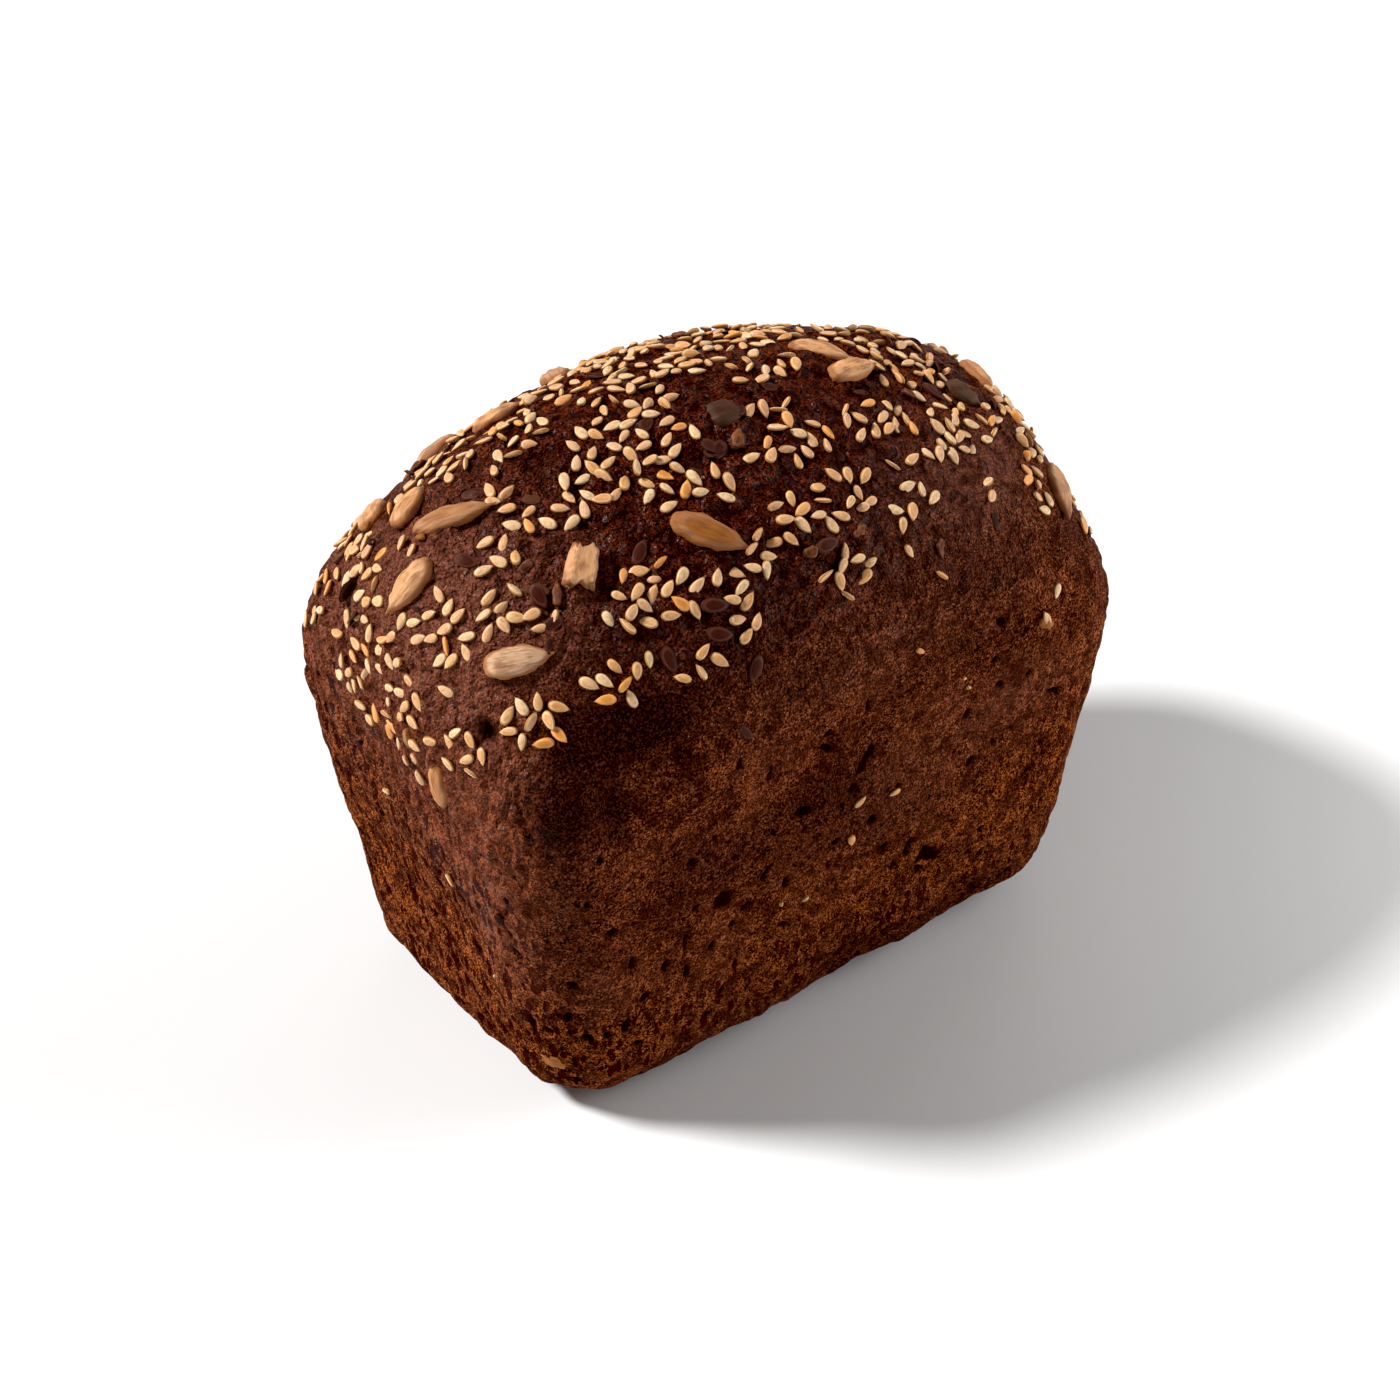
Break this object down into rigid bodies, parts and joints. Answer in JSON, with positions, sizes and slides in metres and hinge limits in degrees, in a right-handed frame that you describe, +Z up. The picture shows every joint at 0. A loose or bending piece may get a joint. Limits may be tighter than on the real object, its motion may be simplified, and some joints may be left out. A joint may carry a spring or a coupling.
{
  "type": "multigrain bread loaf",
  "caption": "Small dark multigrain tin loaf with a domed top crust sprinkled with sesame, flax and sunflower kernels; stands on its flat base.",
  "frame": {"origin": "middle of the loaf's flat base, on the surface it stands on", "axes": "+Z up through the crown, +X along the long sides, +Y across to the far long side; the side shown in the picture's right half faces -Y and the end shown at its left faces -X"},
  "size_m": [0.1219, 0.0772, 0.1066],
  "materials": {
    "crust": "dark baked crust, matt on the walls and slightly glossy on the top",
    "sesame": "satin, toasted",
    "sunflower": "matt, toasted",
    "flax": "slightly glossy"
  },
  "bodies": {
    "root": {"loaf": "crust"}
  },
  "joints": []
}
